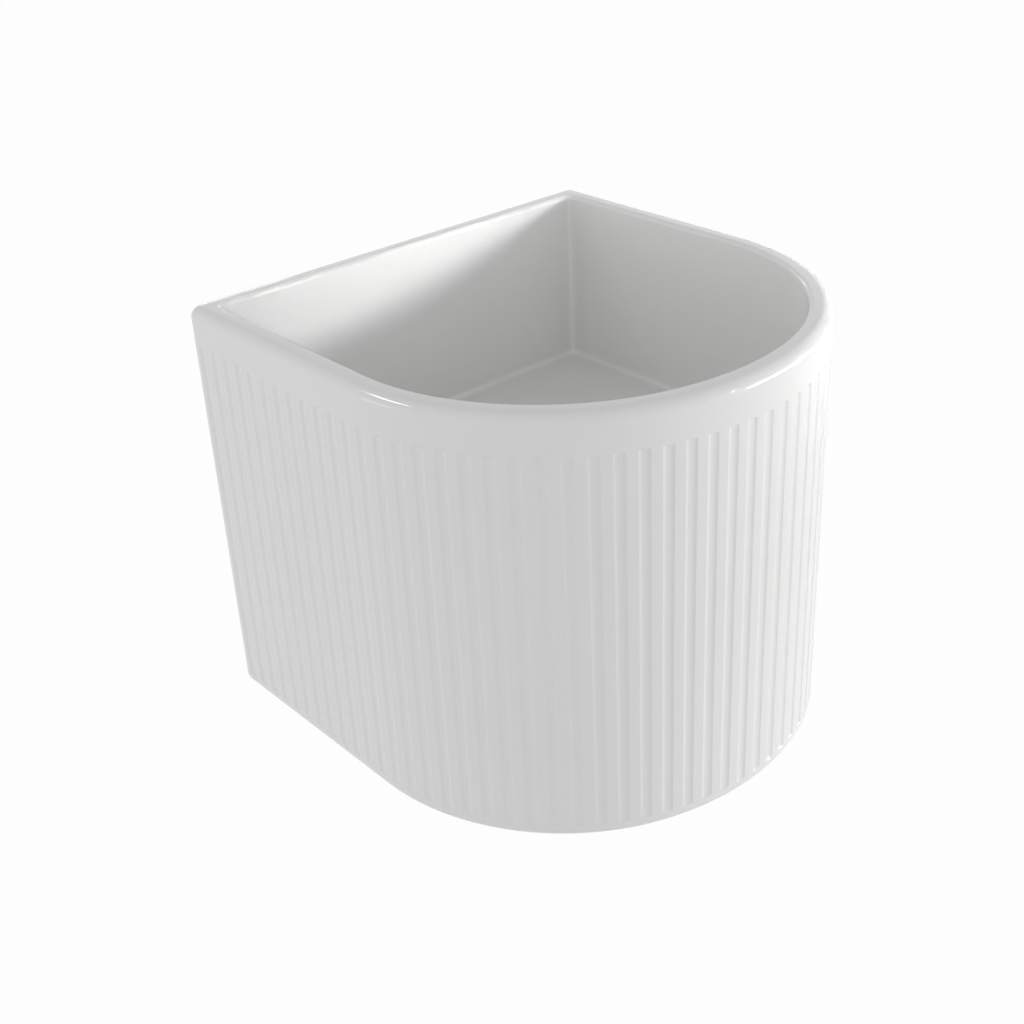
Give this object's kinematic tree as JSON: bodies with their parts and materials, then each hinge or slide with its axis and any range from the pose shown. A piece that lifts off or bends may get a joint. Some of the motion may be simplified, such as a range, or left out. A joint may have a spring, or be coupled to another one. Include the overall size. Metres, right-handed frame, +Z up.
{
  "type": "wall-hung washbasin",
  "caption": "Wall-hung D-plan ceramic washbasin with a fluted skirt, a deep flat-floored bowl and a press-to-close waste.",
  "frame": {"origin": "centre of the body's footprint, on the plane of the skirt's foot", "axes": "+Z up, +Y towards the wall, -Y towards the user, X across, the flat back face at +Y"},
  "size_m": [0.4, 0.3999, 0.345],
  "materials": {
    "glaze": "high gloss white glaze on vitreous china",
    "chrome": "polished chrome plate on brass",
    "brass": "turned, bright",
    "rubber": "moulded, matt",
    "nylon": "moulded, natural white",
    "acetal": "moulded, satin",
    "spring_steel": "drawn wire"
  },
  "bodies": {
    "basin": {"basin_body": "glaze", "fixing_sleeves": "nylon", "waste_body": "chrome", "flange_gasket": "rubber", "tapered_seal": "rubber", "slip_washer": "nylon", "back_nut": "brass", "cartridge_housing": "brass", "cartridge_lock_nut": "brass", "cartridge_cap": "brass", "latch_spring": "spring_steel"},
    "plug": {"plug_cap": "chrome", "plug_carrier": "acetal", "plug_seal": "rubber", "plug_stem": "brass"},
    "latch": {"latch_rotor": "acetal"}
  },
  "joints": [
    {"name": "plug_travel", "type": "slide", "parent": "basin", "child": "plug", "axis": [0, 0, 1], "range_m": [-0.009, 0], "stiffness_N_per_m": 300, "springref_m": 0.02, "deforming": ["latch_spring"]},
    {"name": "latch_turn", "type": "hinge", "parent": "plug", "child": "latch", "pos_m": [0, 0, 0.17], "axis": [0, 0, 1], "range_deg": [-45, 0]}
  ],
  "couplings": [
    {"joint": "latch_turn", "follows": "plug_travel", "rad_per_m": 87.26}
  ]
}
